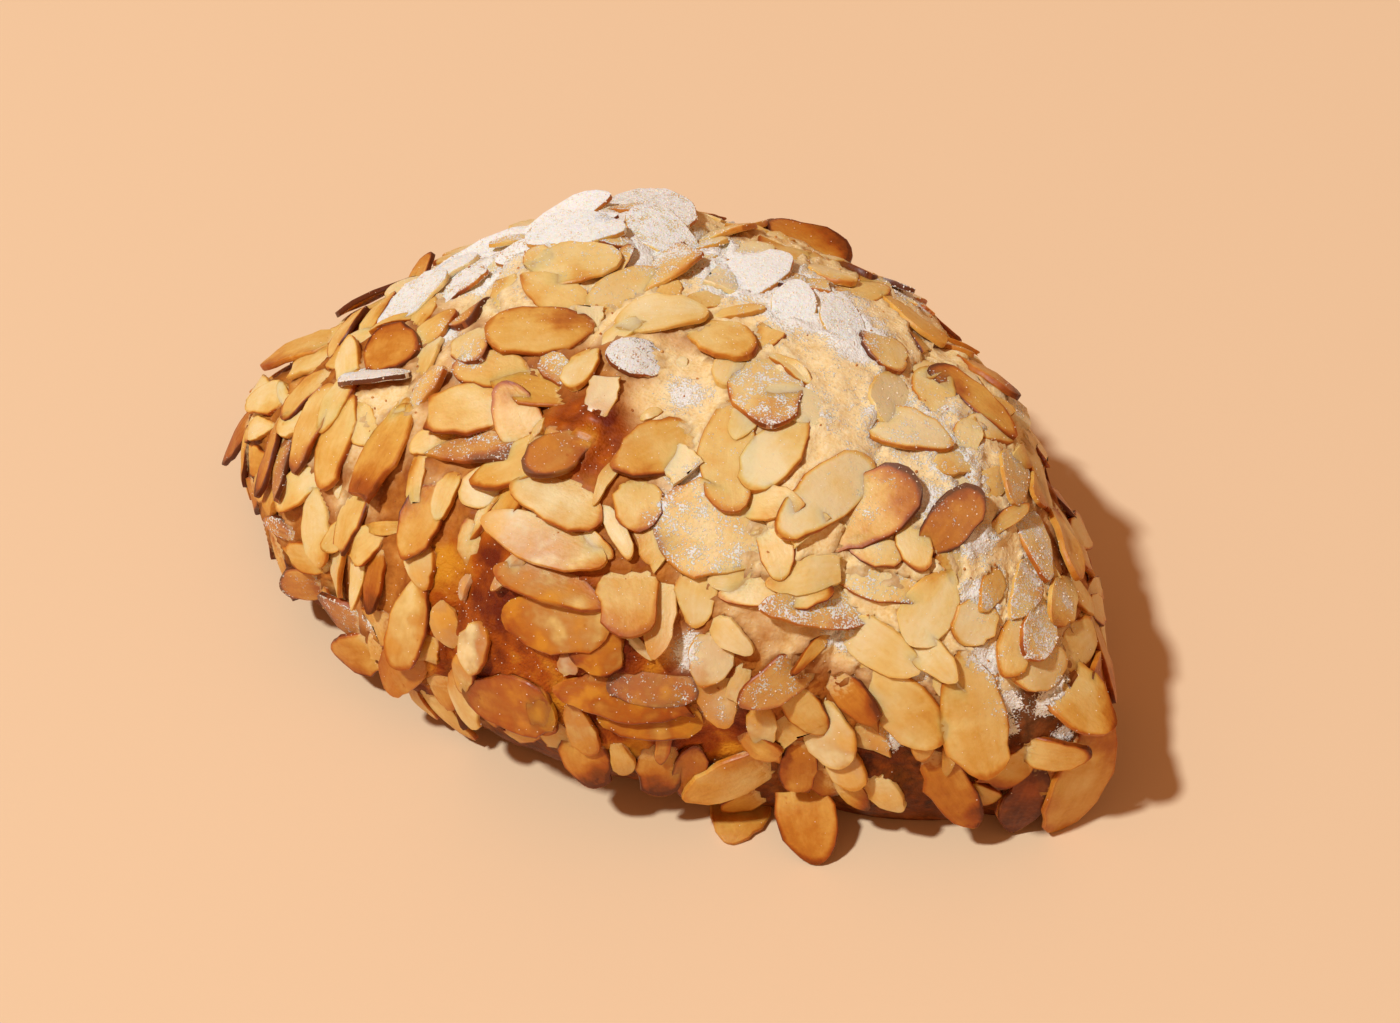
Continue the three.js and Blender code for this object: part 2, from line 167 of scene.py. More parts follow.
# Slices placed one by one. Each row gives the place along the roll (-1 to 1) and round it in degrees
# (0 front, 90 top), the free end's heading in degrees (0 toward the right tip, 90 up the front), the
# length along that heading, the width across it, the tilt in degrees, the toasting and the sugar.
LARGE_SLICES = (
    # Left tip and the ridge behind it
    (-0.96, 30, -115, 14, 7, 24, 0.9, 0),
    (-0.79, 38, -55, 17, 6, 10, 0.72, 0),
    (-0.74, 38, -45, 17, 6, 16, 0.75, 0.3),
    (-0.86, 95, 180, 18, 8, 12, 0.5, 0),
    (-0.74, 90, 70, 11, 7, 8, 0.42, 0),
    (-0.61, 94, 60, 15, 11, 6, 0.1, 0.7),
    (-0.58, 105, 20, 11, 7, 8, 0.1, 1),
    (-0.53, 112, 118, 6.5, 21, 24, 0.6, 0.8),
    (-0.41, 116, 112, 7.5, 22, 36, 0.65, 0.85),
    (-0.37, 107.5, 112, 5, 21, 26, 0.6, 0.7),
    (-0.33, 108, 92, 10, 17, 12, 0.15, 0.8),
    (-0.25, 127, 60, 14, 18, 15, 0.15, 0.7),
    (-0.18, 116, 70, 10, 15, 14, 0.2, 0.7),
    # Left side
    (-0.68, 51, -85, 16, 8, 6, 0.44, 0.2),
    (-0.6, 49, -90, 16, 8, 4, 0.46, 0.1),
    (-0.47, 50, -88, 19, 10, 10, 0.57, 0),
    (-0.57, 77, 95, 10, 11, 14, 0.72, 0),
    (-0.58, 69, -85, 8, 15, 38, 0.7, 0.8),
    (-0.31, 65, -150, 17, 9, 12, 0.28, 0),
    (-0.44, 66, 40, 12, 5, 20, 0.45, 0.4),
    (-0.27, 57, -75, 7, 19, 25, 0.73, 0.35),
    (-0.16, 57, -130, 17, 9.5, 16, 0.35, 0),
    (-0.08, 61, -115, 12, 8, 22, 0.68, 0.2),
    (-0.26, 84, -150, 17, 10, 10, 0.5, 0),
    (-0.2, 73, -80, 9, 16, 18, 0.58, 0),
    (-0.12, 105, 60, 16, 11, 10, 0.42, 0),
    (-0.05, 93, 35, 15, 9, 6, 0.2, 0.15),
    (-0.16, 97, 65, 15, 9, 8, 0.3, 0.3),
    (-0.28, 98, 30, 15, 11, 6, 0.3, 0.2),
    (-0.04, 84, -150, 10, 9, 14, 0.9, 0.7),
    (-0.13, 79, -70, 10, 7, 6, 0.2, 0),
    (-0.33, 37, -95, 13, 8, 10, 0.5, 0),
    (-0.5, 31, -88, 14, 8, 14, 0.42, 0),
    (-0.6, 22, -80, 13, 7, 6, 0.25, 0),
    (-0.52, 14, -85, 12, 6, 8, 0.2, 0),
    (-0.66, 32, -140, 12, 6, 14, 0.2, 0),
    (-0.31, 11, -97, 17, 8, 10, 0.45, 0),
    # Left base
    (-0.63, -3, -165, 11, 7, 25, 0.75, 0.3),
    (-0.61, 10, -170, 10, 6, 15, 0.4, 0),
    (-0.5, -4, 170, 12, 9, 30, 0.8, 0.5),
    (-0.46, -14, -150, 12, 9, 35, 0.55, 0),
    (-0.25, -20, -58, 14, 5, 20, 0.45, 0),
    # Middle
    (-0.05, 52, -92, 8, 16, 16, 0.25, 0),
    (-0.05, 44, -88, 8, 21, 16, 0.2, 0),
    (-0.01, 36, -88, 7, 18, 36, 0.4, 0),
    (0.02, 29, -85, 10, 17, 4, 0.48, 0),
    (0.14, 38, -80, 13, 10, 28, 0.4, 0.15),
    (0.2, 35, -85, 14, 6, 18, 0.28, 0),
    (0.25, 55, 175, 18, 15, 5, 0.3, 0.4),
    (0.08, 68, -130, 14, 10, 8, 0.46, 0.1),
    (0.22, 72, -65, 20, 9, 6, 0.41, 0.25),
    (0.4, 46, -72, 6, 17, 24, 0.3, 0),
    (0.49, 47, -72, 8, 23, 28, 0.5, 0.5),
    (0.5, 75, 65, 18, 11, 6, 0.52, 0),
    (0.64, 86, 90, 15, 8, 10, 0.8, 0),
    (0.42, 72, -110, 20, 9, 5, 0.1, 0),
    (0.3, 77, -92, 16, 9, 6, 0.1, 0),
    (0.22, 89, -60, 18, 12, 10, 0.33, 0.45),
    (0.08, 93, -15, 14, 9, 10, 0.35, 0.1),
    (0.43, 101, -60, 11, 9, 4, 0.05, 0),
    (0.5, 97, -65, 10, 14, 6, 0.08, 0.1),
    # Ridge at the back
    (0.04, 111, 60, 17, 11, 16, 0.13, 0.9),
    (0.17, 107, 115, 11, 8, 20, 0.05, 1),
    (0.27, 110, 140, 12, 8, 16, 0.23, 0.75),
    (0.37, 110, -30, 10, 8, 6, 0.28, 0),
    (0.56, 117, 100, 7, 17, 12, 0.58, 0),
    (0.04, 146, 85, 11, 17, 33, 0.75, 0),
    (0.18, 138, -40, 12, 8, 15, 0.6, 0),
    (0.36, 128, 0, 14, 6, 8, 0.5, 0),
    (0.69, 112, -60, 14, 8, 8, 0.4, 0.4),
    (0.53, 134, -12, 15, 8, 12, 0.7, 0),
    (0.71, 128, -15, 14, 8, 6, 0.35, 0.1),
    (0.8, 126, -25, 16, 7, 8, 0.5, 0),
    (-0.1, 127, 20, 14, 10, 5, 0.15, 0.3),
    # Front base
    (-0.06, 4, -75, 11, 18, 14, 0.9, 0),
    (0.1, -5, -80, 14, 9, 18, 0.7, 0),
    (0.24, -7, -88, 13, 8, 16, 0.7, 0),
    (0.29, -10, -95, 14, 6, 8, 0.85, 0),
    (0.22, 17, -90, 7, 14, 20, 0.78, 0.3),
    (0.17, 14, -90, 8, 21, 22, 0.8, 0),
    (0.22, 9, -90, 8, 16, 26, 0.72, 0),
    (0.37, -10, -145, 18, 9, 14, 0.4, 0),
    (0.49, -24, -82, 18, 10, 60, 0.6, 0),
    (0.39, -24, -145, 10, 6, 20, 0.65, 0),
    (0.37, -32, -85, 11, 10, 115, 0.55, 0),
    (0.44, 24, -145, 14, 8, 22, 0.5, 0.35),
    (0.54, 9, -60, 13, 9, 10, 0.2, 0),
    (0.57, 23, -25, 13, 6, 16, 0.85, 0),
    (0.65, -8, -40, 10, 6, 16, 0.3, 0),
    # Right end
    (0.66, 25, -25, 18, 10, 6, 0.3, 0),
    (0.6, 40, -10, 14, 8, 8, 0.25, 0.05),
    (0.67, 59, -90, 12.5, 9, 6, 0.25, 0),
    (0.83, 72, -75, 13, 6, 10, 0.25, 0.1),
    (0.88, 68, -120, 10, 7, 8, 0.25, 0.2),
    (0.85, 88, -80, 14, 7, 8, 0.35, 0.5),
    (0.77, 107, -20, 14, 8, 6, 0.25, 0.5),
    (0.86, 106, -70, 12, 7, 6, 0.4, 0.1),
    (0.79, 30, -55, 22, 11, 12, 0.38, 0),
    (0.77, -3, -58, 18, 8, 14, 0.75, 0),
    (0.94, 25, 30, 11, 7, 14, 0.45, 0),
    (0.992, 0, 122, 25, 12, -4, 0.5, 0),
    (0.9, -16, -105, 16, 8, 10, 1.2, 0),
    (0.88, -20, -110, 10, 5, 20, 0.6, 0),
    (0.95, 85, 5, 13.5, 12.5, 32, 0.42, 0),
)
SMALL_SLICES = (
    # Left
    (-0.7, 14, 180, 9, 4, 20, 0.85, 0.4),
    (-0.67, 112, 60, 10, 5, 25, 0.75, 0),
    (-0.68, 92, 75, 10, 5, 8, 0.42, 0),
    (-0.64, 61, -95, 12, 7, 5, 0.3, 0.1),
    (-0.47, 76, 100, 8, 6, 8, 0.25, 0.1),
    (-0.44, 87, -60, 9, 8, 16, 0.72, 0),
    (-0.5, 84, 60, 8, 5, 10, 0.5, 0.1),
    (-0.51, 96, 40, 9, 6, 14, 0.4, 0.7),
    (-0.19, 78, -20, 8, 5, 6, 0.55, 0.5),
    (-0.46, 15, -85, 11, 4, 10, 0.25, 0),
    (-0.41, 18, -88, 12, 4, 12, 0.85, 0),
    (-0.23, 15, -70, 8, 6, 8, 0.35, 0),
    (-0.31, 27, -60, 8, 6, 6, 0.3, 0),
    (-0.19, 27, -85, 4.5, 2.2, 8, 0.05, 0),
    (-0.21, 36, -60, 8, 5, 5, 0.42, 0.1),
    (-0.31, -20, -55, 9, 4, 18, 0.5, 0),
    (-0.21, -17, -58, 8, 4, 14, 0.75, 0),
    # Middle
    (0.1, 56, -75, 9, 8, 10, 0.35, 0),
    (0.08, 50, -50, 9, 3, 12, 0.15, 0.1),
    (0.05, 46, -20, 6, 4, 8, 0.15, 0),
    (0.44, 52, -60, 6, 12, 14, 0.3, 0),
    (0.31, 26, -95, 9, 7, 12, 0.08, 0),
    (0.34, 33, -30, 8, 4.5, 10, 0.2, 0),
    (0.37, 22, -100, 9, 3.5, 20, 0.25, 0),
    (0.11, 24, -80, 8, 9, 10, 0.7, 0),
    (0.06, 20, -80, 4, 3.5, 8, 0.1, 0),
    (0.54, 66, -70, 5, 9, 10, 0.3, 0.3),
    (0.57, 58, -75, 5, 14, 20, 0.25, 0.4),
    (0.45, 116, -40, 8, 6, 8, 0.33, 0.2),
    (0.24, 140, 0, 12, 5, 10, 0.7, 0),
    (0.42, 133, 10, 12, 5, 15, 0.7, 0),
    # Front base and right end
    (0.17, -4, -80, 8, 4, 10, 0.45, 0),
    (0.42, 3, -20, 8, 5, 14, 0.65, 0),
    (0.58, 0, -50, 9, 7, 14, 0.2, 0),
    (0.49, 15, -40, 11, 6, 8, 0.4, 0),
    (0.42, 10, -75, 9, 5, 8, 0.3, 0),
    (0.75, 80, -80, 8, 5, 10, 0.4, 0.2),
    (0.75, 64, -80, 8, 8, 5, 0.12, 0.1),
    (0.8, 92, -70, 12, 6, 6, 0.3, 0.5),
    (0.95, 125, -80, 12, 5, 8, 0.75, 0),
    (0.72, 125, -60, 14, 6, 10, 0.5, 0),
)

# Slices scattered between those, largest first: spacing, shortest and longest length
SCATTER_TIERS = ((11, 16, 20), (10, 11, 16))
SMALL_TIERS = ((6, 8, 13), (4.8, 7, 11))
CHIP_TIER = (5.6, 2.5, 5)
# Seats that stay bare
CLEAR_SEATS = (
    (-0.16, 28), (-0.05, 22), (-0.05, 66), (-0.79, 6), (-0.88, 18), (-0.46, 92), (0.33, 32), (0.08, 52),
    (0.35, 8), (0.1, 82), (0.27, 118), (0.36, 118),
)
SMALL_CLEAR_SEATS = (
    (-0.1, 25), (-0.02, 14), (-0.2, 20), (0.36, 92), (0.33, 98), (0.39, 86), (0.45, 90), (0.3, 100),
    (0.4, 96), (0.4, 44), (0.44, 45), (0.49, 47), (0.53, 48), (0.57, 50), (0.8, 52), (0.85, 41),
    (0.92, 62), (0.95, 43), (0.7, 89), (0.58, 87), (0.74, 72), (0.69, 4), (0.65, -12), (0.86, 28),
    (0.86, 55), (0.8, 60), (0.88, 47), (0.84, 82), (0.9, 78), (-0.09, 68), (-0.03, 64), (-0.06, 61),
    (-0.02, 70),
)
SCATTER_TRIES = 1500
SCATTER_REACH = 0.95
SCATTER_ANGLES = (-12, 192)
SCATTER_FLOOR = 5
SLIVER_CHANCE = 0.2
SLIVER_WIDTH_SHARE = 0.27
SLICE_WIDTH_SHARES = (0.5, 0.66)
SNAPPED_CHANCE = 0.3
SNAP_SHARES = (0.1, 0.6)
SCATTER_TILTS = (4, 15)
STEEP_SPREAD = 50
FLAT_SPREAD = 180

# Toasting of the scattered slices
SCATTER_TOAST = 0.52
CROWN_PALENESS = 0.32
TIP_TOAST = 0.2
TIP_TOAST_POWER = 3
TOAST_SPREAD = 0.5

# Powdered sugar: place along the roll, place round it, radius and thickness of each patch
SUGAR_PATCHES = (
    # Ridge and left side
    (-0.53, 114, 8, 0.6), (-0.38, 112, 8, 0.5), (-0.6, 102, 6, 0.7), (-0.25, 122, 11, 0.5),
    (-0.1, 114, 8, 0.5), (-0.36, 75, 3.5, 1), (-0.46, 83, 3, 0.7), (-0.47, 97, 4, 0.7),
    (-0.17, 107, 5, 0.6),
    # Crown and middle
    (0.06, 113, 9, 0.7), (0.18, 108, 6, 0.7), (0.26, 112, 7, 0.6), (0.32, 104, 2.5, 1),
    (0.08, 81, 3.5, 0.8), (0.17, 64, 3.5, 0.8), (0.14, 55, 3, 0.9), (0.27, 27, 3, 0.9),
    (0.34, 13, 2.5, 0.9), (0.52, 39, 2.5, 0.8),
    # Right end
    (0.8, 44, 2, 1), (0.86, 28, 2, 1), (0.91, 50, 2, 0.9), (0.88, 85, 2.5, 0.7),
    (0.68, 39, 2, 1), (0.66, 12, 2.5, 0.8), (0.79, 10, 2.5, 0.7), (0.79, 52, 2.4, 1),
    (0.85, 41, 2.4, 1), (0.92, 67, 2.2, 1), (0.95, 43, 2, 1), (0.7, 89, 2, 1),
    (0.58, 87, 2, 0.9), (0.74, 72, 2.4, 0.9), (0.86, 106, 2.5, 1), (0.8, 105, 2.5, 1),
    (0.5, 75, 2.2, 0.7),
    # Thin dusting
    (0.4, 98, 22, 0.32), (0.62, 95, 14, 0.26), (-0.3, 100, 22, 0.3), (0.82, 85, 12, 0.24),
    # Left base and the back
    (-0.5, -4, 4, 0.4), (-0.62, -3, 3, 0.4), (-0.43, 3, 2.5, 0.6), (-0.72, 12, 3, 0.3),
    (-0.74, 38, 3, 0.3), (0.3, 140, 6, 0.7), (-0.1, 150, 5, 0.7), (0.6, 140, 5, 0.6),
    (-0.45, 145, 6, 0.6),
)

# Almond cream that baked onto the crust, and caramel glaze: the same four values
CREAM_PATCHES = (
    (0.35, 95, 26, 1), (0.52, 105, 20, 1), (0.1, 78, 12, 0.5), (0.72, 88, 15, 1),
    (0, 118, 18, 1), (-0.35, 100, 20, 0.9), (0.33, 60, 14, 0.65), (0.3, 135, 24, 0.9),
    (-0.2, 145, 24, 0.9), (-0.55, 110, 16, 0.8), (-0.6, 60, 16, 0.5), (0.7, 55, 14, 0.55),
    (0.5, 40, 12, 0.4), (-0.45, 36, 16, 0.3), (-0.36, 54, 12, 0.25), (-0.66, 28, 12, 0.35),
    (0.86, 60, 10, 0.8),
)
GLAZE_PATCHES = (
    (-0.14, 20, 13, 1), (-0.06, 28, 9, 0.8), (0, 14, 10, 0.9), (0.12, 18, 10, 0.9),
    (0.24, 14, 10, 0.9), (-0.06, 66, 7, 1), (-0.03, 41, 6, 0.6), (0.34, 6, 8, 0.7),
    (-0.31, -4, 8, 0.6), (0.62, 4, 8, 0.6), (0.1, 170, 18, 0.7), (-0.4, 165, 16, 0.7),
)

# Crust baked dark, and painted shade in its hollows: the same four values
DARK_AND_SHADE_PATCHES = (
    (0.88, 34, 7, 0.9), (0.67, 1, 8, 1), (0.93, 57, 5, 0.9), (0.75, -13, 9, 1),
    (0.93, -9, 9, 1), (0.3, -26, 9, 0.9), (0.15, -16, 8, 0.8), (-0.05, -14, 8, 0.8),
    (0.52, -10, 8, 0.9), (-0.93, 22, 9, 1), (-0.65, -8, 8, 0.7), (-0.35, -12, 7, 0.7),
)

# Sugar grains and crumbs: how much denser each field makes them, and their sizes in millimetres
SUGAR_WEIGHTS = {"sugar": 13, "dusted": 6, "glaze": 4}
SUGAR_GRAINS = {
    "Number a square metre": 55000.0, "Least radius": 0.08, "Most radius": 0.22,
    "Bare share": 0.55, "Seed": 3,
}
CRUMB_WEIGHTS = {"beside": 3, "glaze": 1}
CRUMBS = {
    "Number a square metre": 9000.0, "Least radius": 0.12, "Most radius": 0.35,
    "Bare share": 1.0, "Seed": 8,
}
STREWN_FACING = (-0.1, 0.5)
STREWN_HEAPED = (0.1, 0.6)

# Relief of the crust: sizes of its lumps in millimetres
RELIEF_LUMPS = 6
RELIEF_CRUMBS = 1.3
FILL_PATCHES = 5
BURY_PATCHES = 3.4
# Cream over slices: the noise where it begins, the heights over which it takes the painted shade away
# from the crust under a slice, the least share of the fillet, and the share of that cream beside a slice
BURY_START = 0.44
BURIED = (0.2, 0.7)
FILLET_START = 0.4
BURY_BESIDE = 0.6

# Colours of the finishes
SUGAR_COLOUR = (0.86, 0.865, 0.81)
SUGAR_SHADE = (0.82, 0.775, 0.66)
ALMOND_TONES = (
    (0.0, (0.85, 0.67, 0.36)), (0.2, (0.80, 0.54, 0.18)), (0.38, (0.71, 0.38, 0.07)),
    (0.56, (0.55, 0.20, 0.018)), (0.76, (0.37, 0.080, 0.004)), (1.0, (0.11, 0.020, 0.002)),
)
BAKED_TONES = ((0.3, (0.30, 0.075, 0.008)), (0.5, (0.52, 0.19, 0.028)), (0.7, (0.69, 0.40, 0.12)))
CREAM_TONES = ((0.3, (0.76, 0.48, 0.15)), (0.5, (0.88, 0.66, 0.31)), (0.7, (0.92, 0.78, 0.48)))
SYRUP_TONES = ((0.38, (0.15, 0.015, 0.001)), (0.5, (0.40, 0.078, 0.002)), (0.64, (0.66, 0.27, 0.016)))
# Darker baked crust and painted shade, low on the crust and in its hollows
DARK_AND_SHADE_TONES = ((0.3, (0.045, 0.008, 0.001)), (0.7, (0.21, 0.042, 0.003)))
# Painted shade on the crust under the slices
UNDER_SLICE_SHADE_COLOUR = (0.26, 0.08, 0.012)
MELTED_COLOUR = (0.93, 0.79, 0.50)
MELTED_SHARES = {"crust": 0.55, "slices": 0.22}
SUGAR_TONES = ((0.3, (0.90, 0.76, 0.52)), (0.7, (0.95, 0.90, 0.80)))

# Noise: its middle, and the sizes of its lumps in the finishes in millimetres
NOISE_MIDDLE = 0.5
FLOOR_CLOUD = 330
BROAD_LUMPS = 9
FINE_LUMPS = 1.6
SAND_LUMPS = 0.45
ALMOND_CLOUD = 5
ALMOND_SPECKS = 1.6
ALMOND_FIBRE = 0.6
SUGAR_CLUMPS = 2.0
SUGAR_DUST = 0.3
SUGAR_LUMPS = 0.4
GRAIN_LUMPS = 0.8
# Streaks along a slice: how many fit its half length and its half width
STREAKS = (1.4, 5)
# How far apart the slices' own patterns lie in the noise
OWN_SPREAD = 40

# Relief of the finishes in millimetres
CRUST_RELIEF = 0.26
ALMOND_RELIEF = 0.2
SUGAR_RELIEF = {"crust": 0.2, "slices": 0.18}

# Coats of the finishes: how strongly each field shows, and how much each coat hides. The under coat is
# painted shade under the slices, and the dark coat is darker crust with painted shade
GAINS = {"cream": 1.2, "glaze": 1.2, "dark": 1.3, "sugar": 0.5}
COVERS = {"dark": 0.94, "under": 0.8, "syrup": 0.92, "frost": 0.6}
CREAM_START = 0.35
SUGAR_START = 0.24
DUST_SHARE = 0.6
SUGAR_BESIDE_SHARE = 0.3
# Heights in millimetres over which the low dark crust with its painted shade and the frost of cream fade,
# and their unevenness
LOW_CRUST = (7, 20)
LOW_UNEVENNESS = 16
FROST_EDGE = (0.2, 0.8)
FROST_UNEVENNESS = 1.6
# Where each coat begins and where it is full
SUGAR_FACING = (-0.5, 0.2)
SUGAR_EDGE = (-0.03, 0.04)
SUGAR_BESIDE = (0.1, 0.5)
MELTED_EDGE = (0, 0.8)
POWDER_EDGE = (0.3, 0.6)
CREAM_EDGE = (0.0, 0.5)
GLAZE_EDGE = (0.1, 0.6)
DARK_EDGE = (0.25, 0.75)
SYRUP_EDGE = (0.3, 0.6)

# Toasting of a slice: what each mark adds, and where the marks begin and are full
TOAST_START = -0.07
TOAST_WEIGHTS = {
    "toast": 0.8, "cloud": 0.55, "streak": 0.16, "fibre": 0.12, "border": 0.5,
    "blush": 0.5, "raised": 0.12, "cut": 0.2, "speck": 0.12,
}
BORDER_EDGE = (0.7, 1.0)
BLUSH_EDGE = (0.05, 0.95)
RAISED_EDGE = (1.2, 4.0)
CUT_EDGE = (0.955, 0.99)
SPECK_EDGE = (0.68, 0.76)


Slice = namedtuple("Slice", "t angle heading length width tilt point snap layer toast dusted")


class Socket:
    """One output of a node; arithmetic on it adds Math nodes."""

    def __init__(self, sheet, output):
        self.sheet = sheet
        self.output = output

    def __add__(self, other):
        return self.sheet.math("ADD", self, other)

    __radd__ = __add__

    def __sub__(self, other):
        return self.sheet.math("SUBTRACT", self, other)

    def __rsub__(self, other):
        return self.sheet.math("SUBTRACT", other, self)

    def __mul__(self, other):
        return self.sheet.math("MULTIPLY", self, other)

    __rmul__ = __mul__

    def __truediv__(self, other):
        return self.sheet.math("DIVIDE", self, other)

    def __rtruediv__(self, other):
        return self.sheet.math("DIVIDE", other, self)

    def __abs__(self):
        return self.sheet.math("ABSOLUTE", self)

    def swing(self):
        """Noise about its middle."""
        return self - NOISE_MIDDLE

    def step(self, low, high):
        """0 below low, 1 above high, smooth between."""
        settings = {"interpolation_type": "SMOOTHSTEP"}
        return self.sheet.node("ShaderNodeMapRange", settings, {"Value": self, 1: low, 2: high})


class Sheet:
    """A node tree of a material or of a shape."""

    def __init__(self, tree):
        self.tree = tree

    def node(self, kind, settings=None, sockets=None, output=0):
        made = self.tree.nodes.new(kind)
        for name, setting in (settings or {}).items():
            if name == "stops":
                self.set_stops(made.color_ramp, setting)
            else:
                setattr(made, name, setting)
        for key, value in (sockets or {}).items():
            self.join(made.inputs[key], value)
        return Socket(self, made.outputs[output]) if made.outputs else made

    def join(self, target, value):
        if isinstance(value, Socket):
            self.tree.links.new(value.output, target)
        else:
            target.default_value = value

    def set_stops(self, ramp, stops):
        while len(ramp.elements) < len(stops):
            ramp.elements.new(1.0)
        for element, (place, colour) in zip(ramp.elements, stops):
            element.position = place
            element.color = (*colour, 1.0)

    def math(self, operation, *values):
        return self.node("ShaderNodeMath", {"operation": operation}, dict(enumerate(values)))

    def vector_math(self, operation, sockets):
        return self.node("ShaderNodeVectorMath", {"operation": operation}, sockets)

    def upward(self, vector):
        """How far up a vector reaches."""
        return self.node("ShaderNodeSeparateXYZ", {}, {"Vector": vector}, output="Z")

    def noise(self, size, place, detail=2.0, own=None):
        """Noise with lumps of that size in millimetres; own gives each piece its own pattern."""
        sockets = {"Vector": place, "Scale": 1 / MM / size, "Detail": detail}
        if own is None:
            return self.node("ShaderNodeTexNoise", {}, sockets)
        return self.node("ShaderNodeTexNoise", {"noise_dimensions": "4D"}, {**sockets, "W": own})

    def mix(self, share, first, second):
        """Colour from first to second."""
        colours = [colour if isinstance(colour, Socket) else (*colour, 1.0) for colour in (first, second)]
        sockets = {0: share, 6: colours[0], 7: colours[1]}
        return self.node("ShaderNodeMix", {"data_type": "RGBA"}, sockets, output=2)


class Finish(Sheet):
    """A material."""

    def __init__(self, name):
        self.material = bpy.data.materials.new(name)
        self.material.use_nodes = True
        super().__init__(self.material.node_tree)
        self.tree.nodes.clear()
        self.place = self.node("ShaderNodeTexCoord", output="Object")

    def field(self, name):
        return self.node("ShaderNodeAttribute", {"attribute_name": name}, output="Fac")

    def ramp(self, stops, amount):
        """Colour from a row of stops."""
        return self.node("ShaderNodeValToRGB", {"stops": stops}, {"Fac": amount})

    def facing_up(self):
        return self.upward(self.node("ShaderNodeNewGeometry", output="Normal"))

    def bump(self, height, depth, under=None):
        """Relief of that depth in millimetres, over an earlier relief."""
        sockets = {"Height": height, "Distance": depth * MM, "Strength": 1.0}
        if under is not None:
            sockets["Normal"] = under
        return self.node("ShaderNodeBump", {}, sockets)

    def finish(self, sockets):
        shader = self.node("ShaderNodeBsdfPrincipled", {}, sockets)
        self.node("ShaderNodeOutputMaterial", {}, {"Surface": shader})
        return self.material


class Shape(Sheet):
    """A Geometry Nodes tree with named inputs, run once on an object and then removed."""

    KINDS = {
        float: "NodeSocketFloat",
        int: "NodeSocketInt",
        bpy.types.Object: "NodeSocketObject",
        bpy.types.Collection: "NodeSocketCollection",
    }

    def __init__(self, name, inputs):
        super().__init__(bpy.data.node_groups.new(name, "GeometryNodeTree"))
        interface = self.tree.interface
        interface.new_socket("Geometry", in_out="INPUT", socket_type="NodeSocketGeometry")
        interface.new_socket("Geometry", in_out="OUTPUT", socket_type="NodeSocketGeometry")
        self.values = {}
        for label, value in inputs.items():
            socket = interface.new_socket(label, in_out="INPUT", socket_type=self.KINDS[type(value)])
            self.values[socket.identifier] = value
        self.start = self.tree.nodes.new("NodeGroupInput")
        self.place = self.node("GeometryNodeInputPosition")
        self.normal = self.node("GeometryNodeInputNormal")

    def given(self, label="Geometry"):
        return Socket(self, self.start.outputs[label])

    def surface(self, label):
        """The mesh of an object that is given as an input."""
        return self.node("GeometryNodeObjectInfo", {}, {"Object": self.given(label)}, output="Geometry")

    def distance_to(self, surface):
        """Distance in millimetres."""
        return self.node("GeometryNodeProximity", {}, {0: surface}, output="Distance") / MM

    def field(self, name, kind="FLOAT"):
        return self.node("GeometryNodeInputNamedAttribute", {"data_type": kind}, {"Name": name})

    def store(self, geometry, name, value):
        sockets = {"Geometry": geometry, "Name": name, "Value": value}
        return self.node("GeometryNodeStoreNamedAttribute", {"data_type": "FLOAT"}, sockets)

    def push(self, geometry, direction, distance):
        """Moves points along a direction by a distance in millimetres."""
        offset = self.vector_math("SCALE", {0: direction, "Scale": distance * MM})
        return self.node("GeometryNodeSetPosition", {}, {"Geometry": geometry, "Offset": offset})

    def random(self, low, high, seed):
        sockets = {2: low, 3: high, "Seed": seed}
        return self.node("FunctionNodeRandomValue", {"data_type": "FLOAT"}, sockets, output=1)

    def end(self, geometry, material):
        dressed = self.node("GeometryNodeSetMaterial", {}, {"Geometry": geometry, "Material": material})
        self.node("NodeGroupOutput", {}, {0: dressed})

    def run(self, piece):
        modifier = piece.modifiers.new(self.tree.name, "NODES")
        modifier.node_group = self.tree
        for identifier, value in self.values.items():
            modifier[identifier] = value
        depsgraph = bpy.context.evaluated_depsgraph_get()
        evaluated = piece.evaluated_get(depsgraph)
        mesh = bpy.data.meshes.new_from_object(
            evaluated, preserve_all_data_layers=True, depsgraph=depsgraph,
        )
        piece.modifiers.remove(modifier)
        piece.data = mesh
        mesh.name = piece.name
        return piece


def mix(pair, share):
    return pair[0] + (pair[1] - pair[0]) * share


def signed_power(value, power):
    return np.sign(value) * np.abs(value) ** power


def unit(vector):
    return vector / np.linalg.norm(vector)


def make_draw(seed):
    """Repeatable random numbers from 0 to 1."""
    state = seed

    def draw():
        nonlocal state
        state = (DRAW_FACTOR * state + DRAW_STEP) % DRAW_RANGE
        return state / DRAW_RANGE

    return draw


def taper(t, powers):
    reach = np.minimum(np.abs(t), 1)
    (left_power, left_roundness), (right_power, right_roundness) = powers
    left = (1 - reach**left_power) ** left_roundness
    right = (1 - reach**right_power) ** right_roundness
    return np.where(t < 0, left, right)


def roll_lip(x, angle):
    """Height of the rolled dough's lips, which grow outward along each turn and then drop."""
    turns = np.maximum(np.abs(x - ROLL_CENTRE) - ROLL_SLANT * np.cos(angle), 0) / ROLL_PITCH
    share = np.where(turns < 1, np.maximum(turns, FLAT_TURN_SHARE), turns - np.floor(turns))
    return ROLL_LIP * np.sqrt(share) * (1 - share**LIP_SHARPNESS)


def dents(x, angle):
    height = 0
    for size, waves_along, phase_along, waves_round, phase_round in DENTS:
        wave = np.sin(waves_along * x + phase_along) * np.sin(waves_round * angle + phase_round)
        height = height + size * wave
    return height


